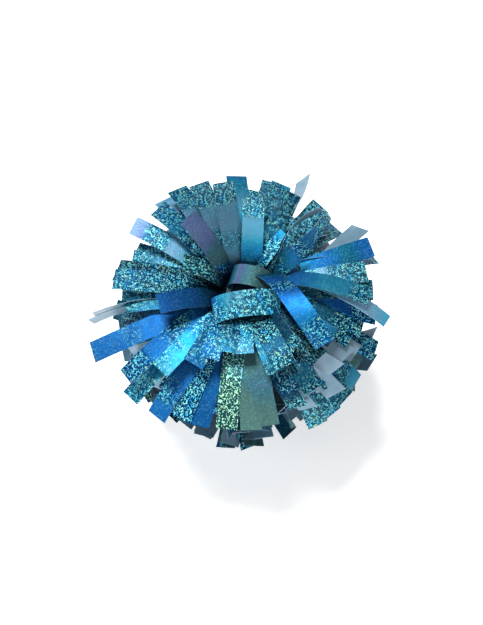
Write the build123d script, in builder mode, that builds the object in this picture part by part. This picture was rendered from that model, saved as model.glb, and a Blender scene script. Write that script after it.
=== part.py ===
from build123d import *

import os
from dataclasses import dataclass
from math import cos, radians, sin, tan

# A cheer pom pom with a hidden baton handle: one brush of slit film streamers at each end
# of the baton.  All lengths are in millimetres.
# The origin is the middle of the hand grip.  +Z runs along the baton; the pom stands on its
# lower brush, so +Z also points up.

# ---- film ----
FILM_T = 0.2                 # film wall, drawn thicker than real film so that it is a solid
STREAMER_W = 19.0            # width of one streamer (3/4 inch)

# ---- baton ----
GRIP_R = 10.0
GRIP_HALF = 46.0             # half of the length the hand closes around
GRIP_BORE_R = 7.5
FLANGE_R = 17.0
FLANGE_T = 2.5
NECK_R = 5.5
NECK_BORE_R = 3.5
NECK_TOP = 62.0
FLANGE_TOP = GRIP_HALF + FLANGE_T
BORE_SHOULDER = GRIP_HALF - 8.0

# ---- end plug ----
PLUG_HEAD_R = 11.0
PLUG_HEAD_T = 6.0
PLUG_STEM_R = 3.4
PLUG_STEM_LEN = 20.0

# ---- cable tie around the gathered film ----
TIE_INNER_R = 11.3
TIE_T = 1.3
TIE_BOTTOM = 49.1
TIE_W = 4.0
TIE_HEAD_LEN = 5.0           # radial size of the ratchet head
TIE_HEAD_W = 6.5
TIE_HEAD_H = 4.6
TIE_TAIL_LEN = 9.0
TIE_TAIL_T = 1.2

# ---- gathered root of each sheet ----
ROOT_T = 1.0                 # pleated film pressed together in the neck
ROOT_BOTTOM = 49.2
ROOT_SPREAD = 26.0           # half angle of the gathered root, inside its 60 degree sector
BEAD_R = 0.9                 # bead of pressed film from which the streamers fan out

# ---- layout ----
SECTORS = 6
SECTOR_ANGLE = 360.0 / SECTORS
LOWER_TURN = 30.0            # the lower brush is turned by half a sector

# ---- crown bands over the plug heads ----
BAND_T = 0.3
BAND_W = 15.0
BAND_BEND_R = 2.4


@dataclass(frozen=True)
class Row:
    """One row of streamers; the angles are measured from the baton axis."""
    start: float
    end: float
    azimuths: tuple
    pitch: float


@dataclass(frozen=True)
class Tier:
    """One slit film sheet: its root stem, the lip it leaves the neck at, and its rows."""
    name: str
    stem_r: float
    stem_top: float
    lip_r: float
    lip_z: float
    length: float
    rows: tuple


TIERS = (
    Tier("inner", 7.3, 56.0, 20.0, 64.0, 118.0, (
        Row(20.0, 90.0, (-11.0, 11.0), 22.0),
        Row(32.0, 95.0, (-16.0, 0.0, 16.0), 16.0),
    )),
    Tier("middle", 8.75, 54.6, 17.5, 60.0, 126.0, (
        Row(44.0, 101.0, (-17.0, 0.0, 17.0), 17.0),
        Row(57.0, 110.0, (-9.0, 9.0), 18.0),
    )),
    Tier("outer", 10.2, 53.6, 15.0, 56.5, 128.0, (
        Row(71.0, 117.0, (-17.0, 0.0, 17.0), 17.0),
        Row(80.0, 128.0, (-8.5, 8.5), 17.0),
        Row(89.0, 139.0, (-19.5, -6.5, 6.5, 19.5), 13.0),
    )),
)


def radial_plane(azimuth):
    """Plane through the baton axis; local x points outward, local y up the axis."""
    out = Vector(cos(radians(azimuth)), sin(radians(azimuth)), 0)
    return Plane(origin=(0, 0, 0), x_dir=out, z_dir=out.cross(Vector(0, 0, 1)))


def arc_point(tier, row, share):
    """Point of a streamer's centre line, at a share of its length from the lip."""
    bend = radians(row.end - row.start)
    arc_r = tier.length / bend
    first = radians(row.start)
    angle = first + bend * share
    return (
        tier.lip_r + arc_r * (cos(first) - cos(angle)),
        tier.lip_z + arc_r * (sin(angle) - sin(first)),
    )


def make_streamer(tier, row, azimuth):
    """One streamer: a thin bent strip, narrow where the film is gathered."""
    slope = tan(radians(0.49 * min(row.pitch, 17.0)))
    half_w = STREAMER_W / 2
    full_r = half_w / slope
    near_r = tier.lip_r - 2.0
    far_r = tier.lip_r + tier.length
    outline = (
        (near_r, -near_r * slope),
        (full_r, -half_w),
        (far_r, -half_w),
        (far_r, half_w),
        (full_r, half_w),
        (near_r, near_r * slope),
    )
    with BuildPart() as streamer:
        with BuildSketch(radial_plane(azimuth)):
            with BuildLine():
                ThreePointArc(
                    arc_point(tier, row, 0.0),
                    arc_point(tier, row, 0.5),
                    arc_point(tier, row, 1.0),
                )
            trace(line_width=FILM_T)
        extrude(amount=half_w, both=True)
        with BuildSketch(Plane.XY.rotated((0, 0, azimuth))):
            Polygon(*outline, align=None)
        extrude(amount=tier.lip_z + tier.length, mode=Mode.INTERSECT)
    return streamer.part


def make_sheet(tier):
    """One slit film sheet of the upper brush, in the sector around the +X direction."""
    streamers = []
    for row in tier.rows:
        for azimuth in row.azimuths:
            streamers.append(make_streamer(tier, row, azimuth))
    with BuildPart() as sheet:
        with BuildSketch(radial_plane(-ROOT_SPREAD)):
            with BuildLine():
                Polyline(
                    (tier.stem_r, ROOT_BOTTOM),
                    (tier.stem_r, tier.stem_top),
                    (tier.lip_r, tier.lip_z),
                )
            trace(line_width=ROOT_T)
            with Locations((tier.lip_r, tier.lip_z)):
                Circle(BEAD_R)
        revolve(axis=Axis.Z, revolution_arc=2 * ROOT_SPREAD)
        for streamer in streamers:
            add(streamer)
    return sheet.part


def make_baton():
    """Hollow spool: grip tube, two flanges and two necks with a bore for the plugs."""
    outline = (
        (NECK_BORE_R, BORE_SHOULDER),
        (NECK_BORE_R, NECK_TOP),
        (NECK_R, NECK_TOP),
        (NECK_R, FLANGE_TOP),
        (FLANGE_R, FLANGE_TOP),
        (FLANGE_R, GRIP_HALF),
        (GRIP_R, GRIP_HALF),
        (GRIP_R, 0),
        (GRIP_BORE_R, 0),
        (GRIP_BORE_R, BORE_SHOULDER),
    )
    with BuildPart() as baton:
        with BuildSketch(Plane.XZ):
            Polygon(*outline, align=None)
        revolve(axis=Axis.Z)
        rim = baton.edges().filter_by(GeomType.CIRCLE).filter_by(
            lambda edge: abs(edge.radius - FLANGE_R) < 0.01
        )
        fillet(rim, radius=1.0)
        corner = baton.edges().filter_by(GeomType.CIRCLE).filter_by(
            lambda edge: abs(edge.radius - GRIP_R) < 0.01 and edge.center().Z > 1.0
        )
        fillet(corner, radius=2.0)
        mirror(about=Plane.XY)
    return baton.part


def make_plug():
    """Mushroom plug that closes the upper end of the baton."""
    with BuildPart() as plug:
        with Locations((0, 0, NECK_TOP)):
            Cylinder(
                PLUG_HEAD_R,
                PLUG_HEAD_T,
                align=(Align.CENTER, Align.CENTER, Align.MIN),
            )
        crown = plug.edges().group_by(Axis.Z)[-1]
        fillet(crown, radius=2.5)
        with Locations((0, 0, NECK_TOP)):
            Cylinder(
                PLUG_STEM_R,
                PLUG_STEM_LEN,
                align=(Align.CENTER, Align.CENTER, Align.MAX),
            )
        tip = plug.edges().group_by(Axis.Z)[0]
        chamfer(tip, length=0.8)
    return plug.part


def make_tie():
    """Nylon cable tie: strap, ratchet head and the cut-off tail."""
    strap_outer_r = TIE_INNER_R + TIE_T
    middle = TIE_BOTTOM + TIE_W / 2
    with BuildPart() as tie:
        with BuildSketch(Plane.XY.offset(TIE_BOTTOM)):
            Circle(strap_outer_r)
            Circle(TIE_INNER_R, mode=Mode.SUBTRACT)
        extrude(amount=TIE_W)
        with Locations((strap_outer_r - 0.4, 0, middle)):
            Box(
                TIE_HEAD_LEN,
                TIE_HEAD_W,
                TIE_HEAD_H,
                align=(Align.MIN, Align.CENTER, Align.CENTER),
            )
        fillet(tie.edges().filter_by(Axis.Z).group_by(Axis.X)[-1], radius=0.6)
        with Locations((strap_outer_r + TIE_HEAD_LEN / 2, TIE_HEAD_W / 2, middle)):
            Box(
                TIE_TAIL_T,
                TIE_TAIL_LEN,
                TIE_W - 0.4,
                align=(Align.CENTER, Align.MIN, Align.CENTER),
            )
    return tie.part


def make_band(half_span, top_z):
    """Film band that loops over the plug head; its two ends touch the head's rim."""
    foot_z = NECK_TOP + 0.8
    height = top_z - foot_z
    with BuildPart() as band:
        with BuildSketch(Plane.XZ):
            with Locations((0, foot_z + height / 2)):
                RectangleRounded(2 * half_span, height, BAND_BEND_R)
                RectangleRounded(
                    2 * (half_span - BAND_T),
                    height - 2 * BAND_T,
                    BAND_BEND_R - BAND_T,
                    mode=Mode.SUBTRACT,
                )
            with Locations((0, foot_z)):
                Rectangle(2 * PLUG_HEAD_R, 4 * BAND_T, mode=Mode.SUBTRACT)
        extrude(amount=BAND_W / 2, both=True)
    return band.part


def place(shape, turn, lower):
    """Turn a part about the baton axis; the lower brush is the mirror image of the upper."""
    with BuildPart() as placed:
        with Locations(Rotation(0, 0, turn)):
            add(shape)
        if lower:
            mirror(about=Plane.XY, mode=Mode.REPLACE)
    return placed.part


def save(shape, name):
    shape.label = name
    export_step(shape, f"parts/{name}.step")


os.makedirs("parts", exist_ok=True)

save(make_baton(), "baton_grip")

plug_shape = make_plug()
tie_shape = make_tie()
over_band = make_band(13.4, 78.0)
under_band = make_band(12.4, 74.0)
for side, below in (("top", False), ("bottom", True)):
    save(place(plug_shape, 0.0, below), f"end_plug_{side}")
    save(place(tie_shape, 200.0, below), f"cable_tie_{side}")
    save(place(over_band, 0.0, below), f"crown_band_{side}_over")
    save(place(under_band, 90.0, below), f"crown_band_{side}_under")

for tier in TIERS:
    sheet_shape = make_sheet(tier)
    for index in range(SECTORS):
        turn = index * SECTOR_ANGLE
        save(place(sheet_shape, turn, False), f"film_top_{index + 1}_{tier.name}")
        save(place(sheet_shape, turn + LOWER_TURN, True), f"film_bottom_{index + 1}_{tier.name}")
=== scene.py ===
import math

import bpy
import numpy as np
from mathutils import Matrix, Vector


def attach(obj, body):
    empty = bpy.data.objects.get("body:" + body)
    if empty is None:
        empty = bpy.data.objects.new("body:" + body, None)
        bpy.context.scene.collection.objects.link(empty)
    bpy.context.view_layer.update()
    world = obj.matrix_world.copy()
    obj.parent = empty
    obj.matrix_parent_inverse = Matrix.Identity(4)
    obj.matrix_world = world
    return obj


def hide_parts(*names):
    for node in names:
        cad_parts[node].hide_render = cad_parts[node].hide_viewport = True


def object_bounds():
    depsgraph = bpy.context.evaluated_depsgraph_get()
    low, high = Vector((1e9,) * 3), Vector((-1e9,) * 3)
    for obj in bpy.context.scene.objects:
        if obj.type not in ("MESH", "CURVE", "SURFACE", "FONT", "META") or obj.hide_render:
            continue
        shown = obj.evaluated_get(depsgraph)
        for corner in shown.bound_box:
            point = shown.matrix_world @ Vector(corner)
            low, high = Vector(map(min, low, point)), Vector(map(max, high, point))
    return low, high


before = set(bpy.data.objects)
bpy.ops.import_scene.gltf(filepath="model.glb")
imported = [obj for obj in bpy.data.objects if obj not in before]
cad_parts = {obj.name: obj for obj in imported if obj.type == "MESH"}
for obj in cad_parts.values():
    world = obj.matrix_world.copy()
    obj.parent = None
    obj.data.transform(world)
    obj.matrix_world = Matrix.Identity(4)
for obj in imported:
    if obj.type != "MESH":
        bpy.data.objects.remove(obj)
CAD_LOW, CAD_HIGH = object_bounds()

# Lengths below are in millimetres and angles in degrees; meshes are scaled to metres.
MM = 0.001
GOLDEN_ANGLE = 137.508

# ---- layout of the two brushes ----
SECTORS = 6
SECTOR_ANGLE = 360.0 / SECTORS
LOWER_TURN = 30.0
TIER_ENDS = (("inner", 0.27), ("middle", 0.53), ("outer", 1.01))
STRIPS_PER_BRUSH = 114
SKIRT_STRIPS = 72
SKIRT_FLIPPED = 0.1      # share of the skirt with the sparkling side inward
NEAR_TRIM = 0.20         # the streamers of the near side are shorter, as in the photograph
SKIRT_NEAR_TRIM = 0.12
# mean angle of a streamer from the baton axis, against t: 0 at the crown, 1 at the equator
DROOP_T = (0, 0.15, 0.35, 0.6, 0.85, 1)
DROOP = (46, 58, 74, 90, 106, 120)
DROOP_LIMIT = 124.0

# ---- film ----
STREAMER_W = 19.0
FILM_T = 0.14
STATIONS = 26            # steps along a streamer
COLUMNS = 4              # steps across a streamer
ROOT_STEPS = 3           # steps between the neck and the lip
ROOT_R = (7.0, 4.0)      # radius of the pressed root in the neck at t = 0, and its growth with t
ROOT_Z = 52.0
LIP_R = (17.5, 3.0)      # the same for the lip, where a streamer leaves the neck: it shrinks
LIP_Z = (65.0, 8.5)
ROOT_LENGTH = 16.0       # film position of the pressed root, before the lip
WRAP_LENGTH = 12.0       # the film wraps the neck over about this length
WRAP_CUP = 0.30
WRAP_NARROWING = 0.12
TWIST_SPREAD = 0.22      # share of the length over which a streamer twists
CURL_FROM = 0.66         # share of the length at which the extra curl starts
CURL_SPAN = 0.34
FLOOR = 127.1            # the lower brush is pressed flat at this distance from the middle
AIM_ROUNDS = 6           # corrections that bring a listed streamer's tip to its place
BAND_START = 30.0        # film position at the start of a crown band, past the pressed root


# ---------------------------------------------------------------- streamers

def rotate(vector, axis, angle):
    """Rotate a vector about a unit axis."""
    c, s = math.cos(angle), math.sin(angle)
    return vector * c + np.cross(axis, vector) * s + axis * np.dot(axis, vector) * (1 - c)


def streamer(az, t, start, end, length=126.0, yaw=0.0, roll=0.0, twist=0.0, twist_at=0.5,
             ease=1.0, curl=0.0, cup=0.06, slant=0.0, width=STREAMER_W, tone=0.5, shade=0.5,
             flip=False):
    """Everything that describes one streamer. Angles in degrees, lengths in mm.

    az: direction from the baton axis; t: 0 next to the crown, 1 next to the equator;
    start, end: angle from the axis at the root and at the tip; yaw: root direction turned
    sideways; roll: film turned about its own length at the root; twist: further turning,
    centred at the share twist_at of the length; ease above 1 bends more towards the tip;
    curl: extra bend in the last third; flip: the sparkling side faces inward.
    """
    return dict(az=az, t=t, start=start, end=end, length=length, yaw=yaw, roll=roll,
                twist=twist, twist_at=twist_at, ease=ease, curl=curl, cup=cup, slant=slant,
                width=width, tone=tone, shade=shade, flip=flip)


def lip_of(t):
    """Radius and height at which a streamer leaves the neck."""
    return LIP_R[0] - LIP_R[1] * t, LIP_Z[0] - LIP_Z[1] * t


def path_of(spec):
    """Centre line and frames of a streamer of the upper brush, root to tip."""
    az = math.radians(spec["az"])
    out = np.array([math.cos(az), math.sin(az), 0.0])
    up = np.array([0.0, 0.0, 1.0])
    t = spec["t"]
    lip_r, lip_z = lip_of(t)
    root_r = ROOT_R[0] + ROOT_R[1] * t
    root = out * root_r + up * ROOT_Z
    lip = out * lip_r + up * lip_z
    heading = rotate(out, up, math.radians(spec["yaw"]))
    start = math.radians(spec["start"])
    tangent = heading * math.sin(start) + up * math.cos(start)
    normal = -heading * math.cos(start) + up * math.sin(start)
    normal = rotate(normal, tangent, math.radians(spec["roll"]))
    length = spec["length"]
    bend = math.radians(spec["end"] - spec["start"])
    ease = spec["ease"]
    points, tangents, normals, along = [], [], [], []
    position = lip.copy()
    # the stretch between the neck and the lip
    for k in range(ROOT_STEPS):
        share = k / ROOT_STEPS
        points.append(root * (1 - share) + lip * share)
        lead = (lip - root) / np.linalg.norm(lip - root)
        tangents.append(lead)
        side = np.cross(up, out)
        normals.append(np.cross(lead, side) * -1.0)
        along.append(-ROOT_LENGTH * (1 - share))
    step = length / STATIONS
    for k in range(STATIONS + 1):
        points.append(position.copy())
        tangents.append(tangent.copy())
        normals.append(normal.copy())
        along.append(k * step)
        u0, u1 = k / STATIONS, (k + 1) / STATIONS
        turn = bend * (u1 ** ease - u0 ** ease)
        curled = max(0.0, u1 - CURL_FROM) / CURL_SPAN
        turn += math.radians(spec["curl"]) * curled / (CURL_SPAN * STATIONS) * 2
        mid = rotate(tangent, np.cross(normal, tangent), turn * 0.5)
        position = position + mid * step
        side = np.cross(normal, tangent)
        tangent = rotate(tangent, side, turn)
        normal = rotate(normal, side, turn)
        before = 0.5 + 0.5 * math.tanh((u0 - spec["twist_at"]) / TWIST_SPREAD)
        after = 0.5 + 0.5 * math.tanh((u1 - spec["twist_at"]) / TWIST_SPREAD)
        normal = rotate(normal, tangent, math.radians(spec["twist"]) * (after - before))
        tangent /= np.linalg.norm(tangent)
        normal -= tangent * np.dot(tangent, normal)
        normal /= np.linalg.norm(normal)
    return np.array(points), np.array(tangents), np.array(normals), np.array(along)


def surface_of(spec, lower):
    """Middle surface of a streamer as a grid, and the places of its points on the film."""
    points, tangents, normals, along = path_of(spec)
    sides = np.cross(normals, tangents)
    rows = len(points)
    share = np.clip(along / spec["length"], 0, 1)
    half = np.full(rows, spec["width"] / 2)
    # the film wraps the neck at its root and flattens further out
    wrap = np.exp(-np.clip(along, 0, None) / WRAP_LENGTH)
    cup = spec["cup"] + WRAP_CUP * wrap
    across = np.linspace(-1, 1, COLUMNS + 1)
    grid = np.zeros((rows, COLUMNS + 1, 3))
    for c, w in enumerate(across):
        lateral = half * w * (1 - WRAP_NARROWING * wrap)
        drop = -cup * half * w * w
        grid[:, c] = points + sides * lateral[:, None] + normals * drop[:, None]
        grid[:, c] += tangents * (spec["slant"] * half * w * share ** 6)[:, None]
    if lower:
        grid[:, :, 2] -= np.clip(grid[:, :, 2] - FLOOR, 0, None)
    return grid, along, across


def grid_normals(grid):
    """Unit normals of a grid of points, from its differences along and across."""
    n = np.cross(np.gradient(grid, axis=0), np.gradient(grid, axis=1))
    return n / np.maximum(np.linalg.norm(n, axis=2, keepdims=True), 1e-9)


def band_surface(controls, offset, azimuth, lean, width):
    """Grid of a film band: a smooth line near its (x, z) controls, turned about the baton."""
    line = np.array(controls, dtype=float)
    # each round cuts the corners off
    for _ in range(3):
        cut = np.empty((2 * len(line) - 2, 2))
        cut[0::2] = line[:-1] * 0.75 + line[1:] * 0.25
        cut[1::2] = line[:-1] * 0.25 + line[1:] * 0.75
        line = np.vstack((line[:1], cut, line[-1:]))
    turn, tilt = math.radians(azimuth), math.radians(lean)
    along_x = np.array([math.cos(turn), math.sin(turn), 0.0])
    along_y = np.array([-math.sin(turn), math.cos(turn), 0.0])
    up = np.array([0.0, 0.0, 1.0])
    centre = line[:, :1] * along_x + offset * along_y + line[:, 1:] * up
    side = along_y * math.cos(tilt) + up * math.sin(tilt)
    across = np.linspace(-1, 1, COLUMNS + 1)
    grid = centre[:, None, :] + side * (across * width / 2)[None, :, None]
    steps = np.linalg.norm(np.diff(centre, axis=0), axis=1)
    return grid, BAND_START + np.concatenate(([0.0], np.cumsum(steps))), across


def build_sheet(name, strips, lower, materials):
    """One mesh of thin closed strips; each strip is (grid, along, across, spec)."""
    verts, faces, face_mats, film, tone = [], [], [], [], []
    for grid, along, across, spec in strips:
        n = grid_normals(grid)
        rows, cols = grid.shape[:2]
        front = grid + n * (FILM_T / 2)
        back = grid - n * (FILM_T / 2)
        base = len(verts)
        for layer in (front, back):
            for i in range(rows):
                for j in range(cols):
                    verts.append(layer[i, j])
                    film.append((along[i], across[j] * spec["width"] / 2,
                                 spec["tone"] * 997.0))
                    tone.append((spec["tone"], spec["shade"], along[i] / spec["length"]))
        count = rows * cols

        def at(layer, i, j):
            """Index of a vertex; layer 0 is the outer side and layer 1 the inner side."""
            return base + layer * count + i * cols + j

        outer, inner = (1, 0) if spec["flip"] else (0, 1)
        for i in range(rows - 1):
            for j in range(cols - 1):
                faces.append((at(0, i, j), at(0, i + 1, j), at(0, i + 1, j + 1), at(0, i, j + 1)))
                face_mats.append(outer)
                faces.append((at(1, i, j), at(1, i, j + 1), at(1, i + 1, j + 1), at(1, i + 1, j)))
                face_mats.append(inner)
        for i in range(rows - 1):
            faces.append((at(0, i, 0), at(1, i, 0), at(1, i + 1, 0), at(0, i + 1, 0)))
            last = cols - 1
            faces.append((at(0, i, last), at(0, i + 1, last), at(1, i + 1, last), at(1, i, last)))
            face_mats.extend((2, 2))
        for j in range(cols - 1):
            faces.append((at(0, 0, j), at(0, 0, j + 1), at(1, 0, j + 1), at(1, 0, j)))
            end = rows - 1
            faces.append((at(0, end, j), at(1, end, j), at(1, end, j + 1), at(0, end, j + 1)))
            face_mats.extend((2, 2))
    verts = np.array(verts)
    if lower:
        verts[:, 2] *= -1
        faces = [tuple(reversed(f)) for f in faces]
    mesh = bpy.data.meshes.new(name)
    mesh.from_pydata([tuple(v) for v in verts * MM], [], faces)
    for key, data in (("film", film), ("tone", tone)):
        layer = mesh.attributes.new(key, "FLOAT_VECTOR", "POINT")
        layer.data.foreach_set("vector", np.array(data, dtype=np.float32).ravel())
    for material in materials:
        mesh.materials.append(material)
    mesh.polygons.foreach_set("material_index", face_mats)
    mesh.polygons.foreach_set("use_smooth", [True] * len(faces))
    mesh.set_sharp_from_angle(angle=math.radians(50))
    mesh.update()
    piece = bpy.data.objects.new(name, mesh)
    bpy.context.scene.collection.objects.link(piece)
    return piece


def aim(root_az, tip_az, reach, tip_z, t, bend, **rest):
    """A streamer that leaves the neck at root_az and ends at tip_az, reach and tip_z."""
    lip_r, lip_z = lip_of(t)
    a, b = math.radians(root_az), math.radians(tip_az)
    lip = np.array([lip_r * math.cos(a), lip_r * math.sin(a), lip_z])
    goal = np.array([reach * math.cos(b), reach * math.sin(b), tip_z]) - lip
    turn = math.degrees(math.atan2(goal[1], goal[0]))
    middle = math.degrees(math.acos(goal[2] / np.linalg.norm(goal)))
    length = np.linalg.norm(goal)
    # a few corrections, because roll and twist turn the bend out of its plane
    for _ in range(AIM_ROUNDS):
        yaw = (turn - root_az + 180.0) % 360.0 - 180.0
        spec = streamer(root_az, t, middle - bend / 2, middle + bend / 2, length=length, yaw=yaw,
                        **rest)
        got = path_of(spec)[0][-1] - lip
        length *= np.linalg.norm(goal) / np.linalg.norm(got)
        turn += math.degrees(math.atan2(goal[1], goal[0]) - math.atan2(got[1], got[0]))
        middle += math.degrees(math.acos(goal[2] / np.linalg.norm(goal))
                               - math.acos(got[2] / np.linalg.norm(got)))
    return spec


def nearness(az):
    """1 for a streamer that points at the camera's side, -Y, and 0 for the far half."""
    return max(0.0, -math.sin(math.radians(az)))


def generic_streamers(seed, turn, wanted, flipped, trim=1.0, sink=0.0):
    """Streamers of one brush, spread evenly by the golden angle and then varied.

    wanted: function of the azimuth and of t that says which of them are kept;
    flipped: share at an azimuth and t with the sparkling side inward; trim: factor on their
    length; sink: how many degrees lower than usual they lie.
    """
    rng = np.random.default_rng(seed)
    specs = []
    for i in range(STRIPS_PER_BRUSH):
        t = (i + 0.5) / STRIPS_PER_BRUSH
        az = (i * GOLDEN_ANGLE + turn) % 360.0
        middle = np.interp(t, DROOP_T, DROOP)
        middle = min(DROOP_LIMIT, middle + sink) + rng.normal(0, 4.0)
        bend = rng.uniform(28.0, 62.0)
        twist = rng.normal(0, 12.0)
        if rng.random() < 0.10:
            twist = rng.choice((-1, 1)) * rng.uniform(60, 150)
        spec = streamer(
            az + rng.normal(0, 5.0), t, middle - bend / 2, middle + bend / 2,
            length=(rng.uniform(90, 114) + (10 if rng.random() < 0.08 else 0))
            * trim * (1.0 - NEAR_TRIM * nearness(az)),
            yaw=rng.normal(0, 15.0), roll=rng.normal(0, 9.0), twist=twist,
            twist_at=rng.uniform(0.45, 0.8), ease=rng.uniform(0.8, 1.2),
            curl=rng.normal(0, 6.0), cup=rng.uniform(-0.02, 0.04), slant=rng.normal(0, 0.12),
            tone=rng.random(), shade=rng.uniform(-0.3, 1.1), flip=rng.random() < flipped(az, t))
        if wanted(spec["az"], t):
            specs.append(spec)
    return specs


def skirt_streamers(seed, turn):
    """Streamers of the outermost rows: most close the ball, two in five stand off it."""
    rng = np.random.default_rng(seed)
    specs = []
    for i in range(SKIRT_STRIPS):
        t = 0.60 + 0.40 * (i + 0.5) / SKIRT_STRIPS
        az = (i * GOLDEN_ANGLE + turn) % 360.0
        end = rng.uniform(116, 140) if i % 5 < 2 else rng.uniform(144, 170)
        specs.append(streamer(
            az, t, rng.uniform(84, 106), end,
            length=rng.uniform(102, 120) * (1.0 - SKIRT_NEAR_TRIM * nearness(az)),
            yaw=rng.normal(0, 16.0), roll=rng.normal(0, 10.0), twist=rng.normal(0, 16.0),
            cup=rng.uniform(-0.02, 0.04), slant=rng.normal(0, 0.12), tone=rng.random(),
            shade=rng.uniform(-0.3, 1.1), flip=rng.random() < SKIRT_FLIPPED))
    return specs


def sector_of(az, turn):
    """Number of the sector, 1 to 6, that a streamer's root lies in."""
    return int(round(((az - turn) % 360.0) / SECTOR_ANGLE)) % SECTORS + 1


def tier_of(t):
    """Name of the sheet, counted from the crown, that a streamer belongs to."""
    for name, end in TIER_ENDS:
        if t < end:
            return name
    return TIER_ENDS[-1][0]


# ---------------------------------------------------------------- materials

def new_material(name):
    material = bpy.data.materials.new(name)
    material.use_nodes = True
    tree = material.node_tree
    tree.nodes.clear()
    output = tree.nodes.new("ShaderNodeOutputMaterial")
    shader = tree.nodes.new("ShaderNodeBsdfPrincipled")
    tree.links.new(shader.outputs[0], output.inputs[0])
    return material, tree, shader


def node(tree, kind, inputs=None, **settings):
    item = tree.nodes.new(kind)
    for key, value in settings.items():
        setattr(item, key, value)
    for key, value in (inputs or {}).items():
        if isinstance(value, bpy.types.NodeSocket):
            tree.links.new(value, item.inputs[key])
        else:
            item.inputs[key].default_value = value
    return item


def math_node(tree, operation, a, b=0.0, clamp=False):
    return node(tree, "ShaderNodeMath", {0: a, 1: b}, operation=operation,
                use_clamp=clamp).outputs[0]


def multiply_add(tree, value, factor, offset):
    return node(tree, "ShaderNodeMath", {0: value, 1: factor, 2: offset},
                operation="MULTIPLY_ADD").outputs[0]


def attribute(tree, name):
    return node(tree, "ShaderNodeAttribute", attribute_name=name).outputs["Vector"]


def noise(tree, place, scale, detail=0.0):
    return node(tree, "ShaderNodeTexNoise", {"Vector": place, "Scale": scale, "Detail": detail},
                noise_dimensions="3D").outputs[0]


def band(tree, value, low, high):
    """Smooth step from 0 at low to 1 at high."""
    return node(tree, "ShaderNodeMapRange", {"Value": value, "From Min": low, "From Max": high},
                interpolation_type="SMOOTHSTEP").outputs[0]


def vector_math(tree, operation, place, other, output="Vector"):
    return node(tree, "ShaderNodeVectorMath", {0: place, 1: other},
                operation=operation).outputs[output]


def add_bump(tree, shader, height, strength, distance):
    bump = node(tree, "ShaderNodeBump", {"Strength": strength, "Distance": distance,
                                         "Height": height})
    tree.links.new(bump.outputs[0], shader.inputs["Normal"])


def ramp(tree, factor, stops, interpolation="LINEAR"):
    item = node(tree, "ShaderNodeValToRGB", {0: factor})
    ramp_data = item.color_ramp
    ramp_data.interpolation = interpolation
    while len(ramp_data.elements) > 1:
        ramp_data.elements.remove(ramp_data.elements[-1])
    ramp_data.elements[0].position = stops[0][0]
    ramp_data.elements[0].color = (*stops[0][1], 1)
    for position, color in stops[1:]:
        ramp_data.elements.new(position).color = (*color, 1)
    return item.outputs[0]


def mix_color(tree, factor, a, b, blend="MIX"):
    item = tree.nodes.new("ShaderNodeMix")
    item.data_type = "RGBA"
    item.blend_type = blend
    for socket, value in ((item.inputs[0], factor), (item.inputs[6], a), (item.inputs[7], b)):
        if isinstance(value, bpy.types.NodeSocket):
            tree.links.new(value, socket)
        elif isinstance(value, (tuple, list)):
            socket.default_value = (*value, 1)
        else:
            socket.default_value = value
    return item.outputs[2]


def squiggle_glints(tree, film):
    """Mask and colour of the squiggle pattern, bands around the middle of a fine noise, with its
    painted glints: bright colour that stands in for the film's specular glitter.
    """
    ridge = math_node(tree, "ABSOLUTE", math_node(tree, "SUBTRACT", noise(tree, film, 0.55), 0.5))
    worm = band(tree, ridge, 0.095, 0.040)
    # a second noise breaks them up
    second = vector_math(tree, "ADD", film, (37.0, 11.0, 5.0))
    broken = band(tree, noise(tree, second, 0.45), 0.40, 0.50)
    hue = noise(tree, second, 0.17, 1.0)
    # painted glints: the bright blue, cyan, white and yellow-green colours of the glitter
    color = ramp(tree, hue, (
        (0.32, (0.05, 0.45, 1.00)),
        (0.40, (0.08, 0.80, 1.00)),
        (0.48, (0.40, 0.98, 1.00)),
        (0.56, (0.06, 0.82, 0.97)),
        (0.64, (0.50, 1.00, 1.00)),
        (0.72, (0.22, 0.95, 0.80)),
        (0.80, (0.85, 0.98, 0.45)),
    ))
    return math_node(tree, "MULTIPLY", worm, broken), color, hue


def film_zone(tree, film, hue_at):
    """Place on the scale of the film's colours; it drifts at random along a streamer, and a painted
    sheen shifts it with the film's tilt: paler where the film faces up and to the near side, darker
    where it faces away.
    """
    normal = node(tree, "ShaderNodeNewGeometry").outputs["Normal"]
    # painted sheen and shade: film turned up and to the near side takes the paler colours, film
    # turned away the darker ones
    painted_sheen_by_tilt = vector_math(tree, "DOT_PRODUCT", normal, (0.25, -0.45, 0.86), "Value")
    drift = math_node(tree, "SUBTRACT", noise(tree, film, 0.020, 1.0), 0.5)
    zone = multiply_add(tree, drift, 0.60, -0.36)
    zone = math_node(tree, "ADD", zone, math_node(tree, "MULTIPLY", painted_sheen_by_tilt, 0.42))
    return math_node(tree, "ADD", zone, hue_at, clamp=True)


def sparkle_density(tree, film, hue_at, sparkle_at, length_share):
    """How densely this part of the film carries the painted glints and the dark ground around them;
    most streamers also carry more of them at the tip.
    """
    density = math_node(tree, "SUBTRACT", noise(tree, film, 0.030, 1.0), 0.5)
    density = math_node(tree, "ADD", math_node(tree, "MULTIPLY", density, 3.6), sparkle_at)
    draw = math_node(tree, "FRACT", math_node(tree, "MULTIPLY", hue_at, 7.3))
    chosen = math_node(tree, "GREATER_THAN", draw, 0.4)
    tip = math_node(tree, "MULTIPLY", band(tree, length_share, 0.70, 0.90), chosen)
    density = math_node(tree, "ADD", density, math_node(tree, "MULTIPLY", tip, 0.7))
    return band(tree, density, 0.25, 0.75)


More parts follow.
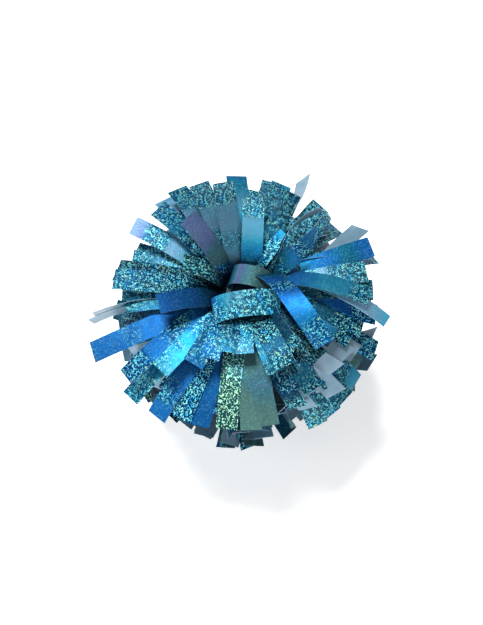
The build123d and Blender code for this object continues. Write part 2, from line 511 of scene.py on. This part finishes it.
def film_front():
    """Holographic film: smooth coloured zones, and dark zones full of squiggles with painted
    glints; a painted sheen and a painted shade also go into its colour.
    """
    material, tree, shader = new_material("film_front")
    film = attribute(tree, "film")
    parts = node(tree, "ShaderNodeSeparateXYZ", {0: attribute(tree, "tone")})
    hue_at, sparkle_at, length_share = parts.outputs
    lengthwise = vector_math(tree, "MULTIPLY", film, (1.0, 0.35, 1.0))
    zone = film_zone(tree, lengthwise, hue_at)
    density = sparkle_density(tree, lengthwise, hue_at, sparkle_at, length_share)
    smooth = ramp(tree, zone, (
        (0.00, (0.004, 0.055, 0.120)),
        (0.16, (0.005, 0.120, 0.210)),
        (0.28, (0.006, 0.110, 0.400)),
        (0.42, (0.008, 0.170, 0.520)),
        (0.54, (0.008, 0.240, 0.500)),
        (0.62, (0.025, 0.300, 0.480)),
        (0.70, (0.100, 0.310, 0.460)),
        (0.78, (0.190, 0.330, 0.500)),
        (0.84, (0.150, 0.200, 0.460)),
        (0.90, (0.060, 0.190, 0.250)),
        (1.00, (0.085, 0.200, 0.190)),
    ))
    dark = ramp(tree, zone, (
        (0.0, (0.000, 0.022, 0.045)),
        (0.3, (0.000, 0.045, 0.160)),
        (0.6, (0.000, 0.070, 0.160)),
        (1.0, (0.001, 0.055, 0.065)),
    ))
    ground = mix_color(tree, math_node(tree, "MULTIPLY", density, 0.85), smooth, dark)
    worm, spark_color, hue = squiggle_glints(tree, film)
    green = math_node(tree, "MULTIPLY", band(tree, zone, 0.86, 1.0), 0.55)
    spark_color = mix_color(tree, green, spark_color, (0.62, 0.95, 0.35))
    # painted glints: the squiggles are painted bright into the base colour, standing in for the
    # film's specular glitter
    spark = math_node(tree, "MULTIPLY", worm, multiply_add(tree, density, 0.85, 0.12))
    color = mix_color(tree, spark, ground, spark_color)
    # each streamer has its own brightness
    level = math_node(tree, "FRACT", math_node(tree, "MULTIPLY", hue_at, 13.7))
    level = math_node(tree, "MULTIPLY", math_node(tree, "SUBTRACT", 1.0, level), 0.62)
    color = mix_color(tree, level, color, (0.0, 0.004, 0.012))
    # painted shade: darker towards the neck, standing in for the deep shade where the streamers
    # gather
    length_at = node(tree, "ShaderNodeSeparateXYZ", {0: film}).outputs[0]
    color = mix_color(tree, band(tree, length_at, 30.0, 4.0), color, (0.001, 0.008, 0.020))
    tree.links.new(color, shader.inputs["Base Color"])
    shader.inputs["Specular IOR Level"].default_value = 0.15
    metal = math_node(tree, "SUBTRACT", 0.70, math_node(tree, "MULTIPLY", spark, 0.55))
    tree.links.new(metal, shader.inputs["Metallic"])
    tree.links.new(multiply_add(tree, hue, 0.25, 0.36), shader.inputs["Roughness"])
    height = math_node(tree, "ADD", worm, noise(tree, film, 0.8, 1.0))
    add_bump(tree, shader, height, 0.30, 0.0004)
    return material


def film_back():
    """Plain back of the film: pale grey with a blue cast."""
    material, tree, shader = new_material("film_back")
    film = attribute(tree, "film")
    parts = node(tree, "ShaderNodeSeparateXYZ", {0: attribute(tree, "tone")})
    slow = noise(tree, film, 0.06, 2.0)
    place = math_node(tree, "ADD", math_node(tree, "MULTIPLY", slow, 0.7),
                      math_node(tree, "MULTIPLY", parts.outputs[1], 0.4))
    color = ramp(tree, place, (
        (0.15, (0.08, 0.18, 0.25)),
        (0.45, (0.14, 0.26, 0.35)),
        (0.75, (0.25, 0.37, 0.47)),
    ))
    tree.links.new(color, shader.inputs["Base Color"])
    shader.inputs["Metallic"].default_value = 0.45
    grain = noise(tree, film, 1.2, 2.0)
    rough = math_node(tree, "ADD", 0.28, math_node(tree, "MULTIPLY", grain, 0.2))
    tree.links.new(rough, shader.inputs["Roughness"])
    add_bump(tree, shader, grain, 0.12, 0.0003)
    return material


def film_edge():
    """Cut edge of the film, painted brighter than its faces: a painted highlight along the edge."""
    material, tree, shader = new_material("film_edge")
    slow = noise(tree, attribute(tree, "film"), 0.1, 2.0)
    # painted highlight: the pale edge colour stands in for light caught along the cut edge
    color = ramp(tree, slow, ((0.3, (0.25, 0.55, 0.70)), (0.7, (0.75, 0.92, 0.98))))
    tree.links.new(color, shader.inputs["Base Color"])
    shader.inputs["Metallic"].default_value = 0.5
    shader.inputs["Roughness"].default_value = 0.3
    return material


def moulded(name, low, high, scale, roughness):
    """Moulded plastic with a faint mottle."""
    material, tree, shader = new_material(name)
    place = node(tree, "ShaderNodeTexCoord").outputs["Object"]
    slow = noise(tree, place, scale, 3.0)
    color = ramp(tree, slow, ((0.3, low), (0.7, high)))
    tree.links.new(color, shader.inputs["Base Color"])
    rough = math_node(tree, "ADD", roughness, math_node(tree, "MULTIPLY", slow, 0.15))
    tree.links.new(rough, shader.inputs["Roughness"])
    add_bump(tree, shader, slow, 0.08, 0.0004)
    return material


# ---------------------------------------------------------------- pieces

FILM = (film_front(), film_back(), film_edge())


def make_brush(end, turn, lower, specs):
    """The 18 film sheets of one brush, six sectors of three tiers."""
    groups = {}
    for spec in specs:
        key = (sector_of(spec["az"], turn), tier_of(spec["t"]))
        groups.setdefault(key, []).append(spec)
    for (sector, tier), members in sorted(groups.items()):
        name = f"streamers_{end}_{sector}_{tier}"
        strips = [(*surface_of(spec, lower), spec) for spec in members]
        piece = build_sheet(name, strips, lower, FILM)
        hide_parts(f"film_{end}_{sector}_{tier}")
        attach(piece, f"{end}_tuft_{sector}")


# the two film bands over the plug head: controls (x, z) along the band, then its place
FRONT_BAND = dict(
    controls=((-9, 66), (-17, 66.5), (-26, 69), (-31, 76), (-25, 84), (-11, 88), (4, 88.5),
              (18, 86), (27, 81), (32, 73), (26, 67), (18, 66), (9, 66)),
    offset=-21.0, azimuth=8.0, lean=26.0, width=23.0)
REAR_BAND = dict(
    controls=((-8, 66), (-12, 67), (-14, 73), (-10, 81), (-1, 85), (9, 85.5), (19, 82),
              (24, 75), (19, 67), (8, 66)),
    offset=8.5, azimuth=-14.0, lean=-8.0, width=21.0)


def make_bands(end, lower):
    """The front and rear film bands that loop over one plug head."""
    for place, node_name, shape, hue, sparkle in (
        ("front", "over", FRONT_BAND, 0.58, 1.0),
        ("rear", "under", REAR_BAND, 0.97, -0.3),
    ):
        grid, along, across = band_surface(**shape)
        length = along[-1] - BAND_START
        spec = dict(width=shape["width"], length=length, tone=hue, shade=sparkle, flip=False)
        piece = build_sheet(f"crown_film_{end}_{place}", [(grid, along, across, spec)], lower, FILM)
        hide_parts(f"crown_band_{end}_{node_name}")
        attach(piece, "baton")


# Streamers set one by one after the photograph: azimuth of the root and of the tip, distance of
# the tip from the axis, its height, t, bend, roll, twist, cup, slant, tone, shade
BY_HAND = (
    # left: three long streamers and the short one above them
    (202, 201.7, 143, 52, 0.40, 18, 0, -10, 0.01, 0.12, 0.31, 0.10),
    (208, 216.8, 128, 54, 0.28, 34, 6, 8, 0.02, 0.05, 0.40, 0.45),
    (222, 221.2, 133, 30, 0.50, 32, 0, 8, 0.01, -0.10, 0.56, 0.95),
    (190, 197, 77, 90, 0.08, 36, -4, 6, 0.02, 0.05, 0.30, -0.30),
    (178, 177, 114, 80, 0.16, 32, 0, -6, 0.01, 0.05, 0.10, 1.10),
    (172, 171, 112, 76, 0.20, 32, 0, 6, 0.01, 0.05, 0.08, 1.10),
    (184, 182, 108, 60, 0.40, 34, 0, 6, 0.01, 0.05, 0.58, 0.95),
    (150, 150, 113, 84, 0.10, 28, 0, 6, 0.01, -0.10, 0.725, 0.20),
    (160, 158, 104, 66, 0.30, 40, 0, -6, 0.01, 0.00, 0.62, 0.95),
    (182, 186, 104, 66, 0.34, 34, 0, -6, 0.01, 0.00, 0.60, 0.95),
    # front: a fan that lies over the near side
    (231, 234, 130, 30, 0.46, 30, 0, 5, 0.01, 0.05, 0.33, 0.12),
    (240, 243, 121, 32, 0.44, 34, -4, 8, 0.02, 0.05, 0.14, 0.85),
    (248, 251, 120, 30, 0.46, 34, 5, -8, 0.01, -0.05, 0.32, 0.20),
    (224, 226, 104, 66, 0.24, 40, 0, 8, 0.02, 0.00, 0.58, 0.90),
    (236, 239, 84, 74, 0.16, 42, 0, -8, 0.02, 0.00, 0.46, 0.95),
    (248, 246, 74, 76, 0.14, 44, 0, 6, 0.02, 0.00, 0.40, 0.90),
    (261, 263, 120, 38, 0.16, 36, 0, 4, 0.01, 0.00, 0.94, 1.00),
    (275, 273.5, 120, 37, 0.17, 34, 0, -5, 0.01, 0.05, 0.92, -0.40),
    (270, 270, 64, 78, 0.10, 44, 0, 4, 0.02, 0.00, 0.80, 0.95),
    (258, 256, 64, 78, 0.10, 44, 0, 4, 0.02, 0.00, 0.60, 0.95),
    (281, 281, 118, 38, 0.19, 36, 0, 5, 0.01, 0.05, 0.91, -0.30),
    (288, 291, 84, 70, 0.16, 40, 0, 6, 0.02, 0.00, 0.60, 0.75),
    (297, 296, 98, 48, 0.42, 38, 0, 8, 0.02, 0.00, 0.012, 0.60),
    (306, 304.4, 109, 58, 0.28, 34, -5, 8, 0.01, 0.00, 0.002, 0.75),
    (318, 316, 92, 66, 0.26, 36, 0, 8, 0.02, 0.00, 0.075, 0.80),
    # right: the bright one on top, the long pale one, and the dark end beyond it
    (60, 320, 92, 88, 0.04, 110, -60, 50, 0.01, 0.08, 0.40, 0.05),
    (4, 307, 76, 84, 0.06, 36, 55, 10, 0.02, 0.08, 0.06, 0.20),
    (62, 347.5, 130, 64, 0.06, 54, -42, 10, 0.02, 0.10, 0.728, -0.30),
    (52, 354, 112, 78, 0.10, 50, -30, 10, 0.02, 0.10, 0.68, 0.20),
    (20, 22, 125, 60, 0.44, 26, -8, 20, 0.02, 0.00, 0.14, 0.00),
    (33, 32, 126, 58, 0.50, 30, 30, 130, 0.02, 0.25, 0.50, 0.40),
    (348, 344, 110, 54, 0.38, 34, 0, -8, 0.02, 0.00, 0.10, 0.35),
    (352, 352, 120, 52, 0.48, 30, 0, 8, 0.02, 0.00, 0.36, 0.15),
    (2, 2, 116, 60, 0.42, 34, 0, 8, 0.02, 0.00, 0.66, 0.85),
    (12, 10, 112, 66, 0.34, 34, 0, 8, 0.02, 0.00, 0.70, 0.80),
    (333, 328, 92, 76, 0.20, 36, 0, 8, 0.02, 0.00, 0.16, 0.20),
    # far side: pale streamers that rise and lean back
    (50, 52, 116, 54, 0.54, 34, 0, 8, 0.01, 0.10, 0.62, 0.95),
    (68, 72, 114, 64, 0.48, 34, 0, 10, 0.01, 0.10, 0.56, 0.15),
    (60, 64, 126, 66, 0.50, 44, -20, 150, 0.02, 0.30, 0.40, 0.50),
    (92, 93, 118, 62, 0.50, 34, 0, 6, 0.01, 0.05, 0.60, -0.10),
    (104, 103, 104, 62, 0.54, 34, 0, -6, 0.01, 0.05, 0.58, -0.30),
    (84, 83, 104, 60, 0.52, 34, 0, 6, 0.01, 0.05, 0.62, 0.20),
    (115, 116, 107, 62, 0.50, 34, 0, 6, 0.01, 0.05, 0.70, -0.20),
    (127, 128, 118, 62, 0.50, 34, 0, 8, 0.01, 0.10, 0.72, -0.20),
    (122, 122, 113, 78, 0.30, 34, 0, 8, 0.01, 0.10, 0.66, 0.30),
    (118, 114, 97, 102, 0.12, 46, 0, 8, 0.01, 0.00, 0.74, 0.45),
    (104, 102, 85, 115, 0.08, 44, 0, -6, 0.01, 0.00, 0.74, 0.30),
    (84, 82, 66, 120, 0.04, 44, 0, 6, 0.01, 0.00, 0.655, 0.10),
    (136, 134, 70, 112, 0.08, 44, 8, 8, 0.01, 0.00, 0.84, -0.30),
    (138, 138, 102, 94, 0.16, 46, 0, 8, 0.01, 0.00, 0.52, 0.85),
    (62, 60, 86, 112, 0.10, 48, 14, 30, 0.02, 0.00, 0.60, 0.85),
    (48, 42, 92, 106, 0.12, 62, -28, -75, 0.04, 0.00, 0.30, 0.20),
    (30, 38, 96, 100, 0.14, 62, 20, 70, 0.04, 0.00, 0.20, 0.30),
    (76, 74, 95, 100, 0.16, 46, 0, 8, 0.01, 0.00, 0.66, 0.85),
    (120, 138, 56, 98, 0.05, 46, 0, 6, 0.02, 0.00, 0.40, 0.85),
    (150, 165, 54, 96, 0.06, 46, 0, 6, 0.02, 0.00, 0.90, 0.90),
    (60, 52, 56, 98, 0.05, 46, 0, 6, 0.02, 0.00, 0.58, 0.90),
    # thin ones at the far left, seen on edge
    (185, 188.4, 134, 60, 0.60, 28, 50, 30, 0.02, 0.05, 0.50, 0.60),
    (208, 188, 138, 42, 0.60, 40, 70, 10, 0.02, 0.10, 0.50, 0.60),
    # hanging ones in the gap at the lower right, and the bright rim below them
    (304, 303, 124, 4, 0.62, 50, 0, 6, 0.02, 0.05, 0.64, 1.00),
    (311, 311, 124, 6, 0.64, 50, 0, -6, 0.02, 0.05, 0.62, 1.00),
    (318, 319, 123, 8, 0.66, 50, 0, 6, 0.02, -0.05, 0.66, 0.90),
    (326, 327, 122, 12, 0.62, 50, 0, -6, 0.02, 0.05, 0.69, 1.00),
    (296, 297, 108, 30, 0.50, 44, 20, 20, 0.02, 0.10, 0.06, -0.20),
    (336, 336, 104, 56, 0.40, 40, 14, -20, 0.02, 0.10, 0.10, 0.60),
    (300, 296, 84, 78, 0.10, 44, 0, 6, 0.02, 0.05, 0.04, 0.85),
    (322, 326, 88, 76, 0.16, 40, 0, -6, 0.02, 0.05, 0.02, 0.55),
)
# the same, for streamers that show their plain back in the gap at the lower right
BACKS = (
    (303, 301, 112, 26, 0.52, 50, 24, 20, 0.02, 0.20, 0.50, 0.50),
    (312, 310, 108, 34, 0.50, 50, -26, -20, 0.02, 0.20, 0.50, 0.80),
    (322, 321, 106, 46, 0.44, 44, 30, 20, 0.02, 0.20, 0.50, 0.90),
    (330, 329, 108, 50, 0.42, 44, -24, 25, 0.02, 0.20, 0.50, 0.70),
    (326, 334, 112, 40, 0.50, 44, 30, -25, 0.02, 0.20, 0.50, 0.95),
    (317, 316, 116, 22, 0.56, 50, 10, 20, 0.02, 0.20, 0.50, 0.60),
)
KEYS = ("roll", "twist", "cup", "slant", "tone", "shade")
ROOT_SCATTER = 9.0       # degrees; the streamers cross each other, with their tips kept in place
scatter = np.random.default_rng(5)
by_hand = []
for table, flip in ((BY_HAND, False), (BACKS, True)):
    for root_az, *place in table:
        by_hand.append(aim(root_az + scatter.normal(0, ROOT_SCATTER), *place[:5],
                           **dict(zip(KEYS, place[5:])), flip=flip))


def top_wanted(az, t):
    """The even spread lies below the listed streamers and leaves the gap at the lower right."""
    return t >= 0.42 and not 290.0 < az < 340.0


def bottom_flipped(az, t):
    """Low streamers often show their sparkling side to the top, but not at the lower right."""
    if t >= 0.5 or 290.0 < az < 340.0:
        return 0.15
    return 0.85 if 190.0 < az < 290.0 else 0.5


make_brush("top", 0.0, False,
           by_hand + generic_streamers(11, 0.0, top_wanted, lambda az, t: 0.06, sink=26.0)
           + skirt_streamers(31, 15.0))
make_brush("bottom", LOWER_TURN, True,
           generic_streamers(23, 40.0, lambda az, t: True, bottom_flipped, trim=0.95)
           + skirt_streamers(47, 70.0))
make_bands("top", False)
make_bands("bottom", True)

# the CAD nodes that stay, by the start of their names
MOULDED_PARTS = {
    "baton_grip": moulded("baton_plastic", (0.62, 0.66, 0.72), (0.78, 0.81, 0.85), 60.0, 0.25),
    "end_plug": moulded("plug_plastic", (0.010, 0.025, 0.060), (0.020, 0.045, 0.095), 80.0, 0.3),
    "cable_tie": moulded("tie_nylon", (0.70, 0.70, 0.66), (0.82, 0.82, 0.78), 150.0, 0.4),
}
for part_name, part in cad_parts.items():
    for start, finish in MOULDED_PARTS.items():
        if part_name.startswith(start):
            for material_slot in part.material_slots:
                material_slot.material = finish

# ---------------------------------------------------------------- stage

FLOOR_SIZE = 60.0        # metres; it runs out of sight even when seen almost level
FLOOR_GLOW = 0.45        # keeps the shadow faint
floor_z = CAD_LOW[2]
bpy.ops.mesh.primitive_plane_add(size=FLOOR_SIZE, location=(0, 0, floor_z))
floor = bpy.context.object
floor.name = "floor"
floor_material, floor_tree, floor_shader = new_material("floor")
floor_noise = node(floor_tree, "ShaderNodeTexNoise", {"Scale": 40.0}).outputs[0]
floor_tree.links.new(ramp(floor_tree, floor_noise, ((0.3, (0.86, 0.86, 0.86)),
                                                    (0.7, (0.90, 0.90, 0.90)))),
                     floor_shader.inputs["Base Color"])
floor_shader.inputs["Roughness"].default_value = 0.9
floor_shader.inputs["Emission Color"].default_value = (1.0, 1.0, 1.0, 1)
floor_shader.inputs["Emission Strength"].default_value = FLOOR_GLOW
floor.data.materials.append(floor_material)


def add_light(name, kind, location, size, power):
    """A soft light that points at the object; size is an angle for the sun."""
    data = bpy.data.lights.new(name, kind)
    data.energy = power
    if kind == "SUN":
        data.angle = size
    else:
        data.shape = "SQUARE"
        data.size = size
    light = bpy.data.objects.new(name, data)
    bpy.context.scene.collection.objects.link(light)
    light.location = location
    light.rotation_euler = (-Vector(location)).to_track_quat("-Z", "Y").to_euler()


add_light("key", "SUN", (-0.35, 0.50, 1.6), math.radians(18.0), 4.1)
add_light("fill", "AREA", (0.5, -1.3, 1.0), 0.9, 11.0)
add_light("side", "AREA", (-1.4, -0.3, 0.7), 0.7, 5.0)

world = bpy.data.worlds.new("studio")
bpy.context.scene.world = world
world.use_nodes = True
sky = world.node_tree
ambient = sky.nodes["Background"]
ambient.inputs[0].default_value = (0.93, 0.96, 1.0, 1)
ambient.inputs[1].default_value = 0.17
backdrop = node(sky, "ShaderNodeBackground", {0: (0.95, 0.96, 0.98, 1), 1: 0.92})
blend = node(sky, "ShaderNodeMixShader",
             {0: node(sky, "ShaderNodeLightPath").outputs["Is Camera Ray"],
              1: ambient.outputs[0], 2: backdrop.outputs[0]})
sky.links.new(blend.outputs[0], sky.nodes["World Output"].inputs[0])

camera_data = bpy.data.cameras.new("camera")
camera_data.lens = 85.0
camera = bpy.data.objects.new("camera", camera_data)
bpy.context.scene.collection.objects.link(camera)
ELEVATION = math.radians(67.0)
DISTANCE = 1.37
TARGET = Vector((-0.0014, 0.0065, 0.0027))
away = Vector((0, -math.cos(ELEVATION), math.sin(ELEVATION)))
camera.location = TARGET + away * DISTANCE
camera.rotation_euler = (-away).to_track_quat("-Z", "Y").to_euler()
bpy.context.scene.camera = camera
bpy.context.scene.view_settings.view_transform = "Standard"
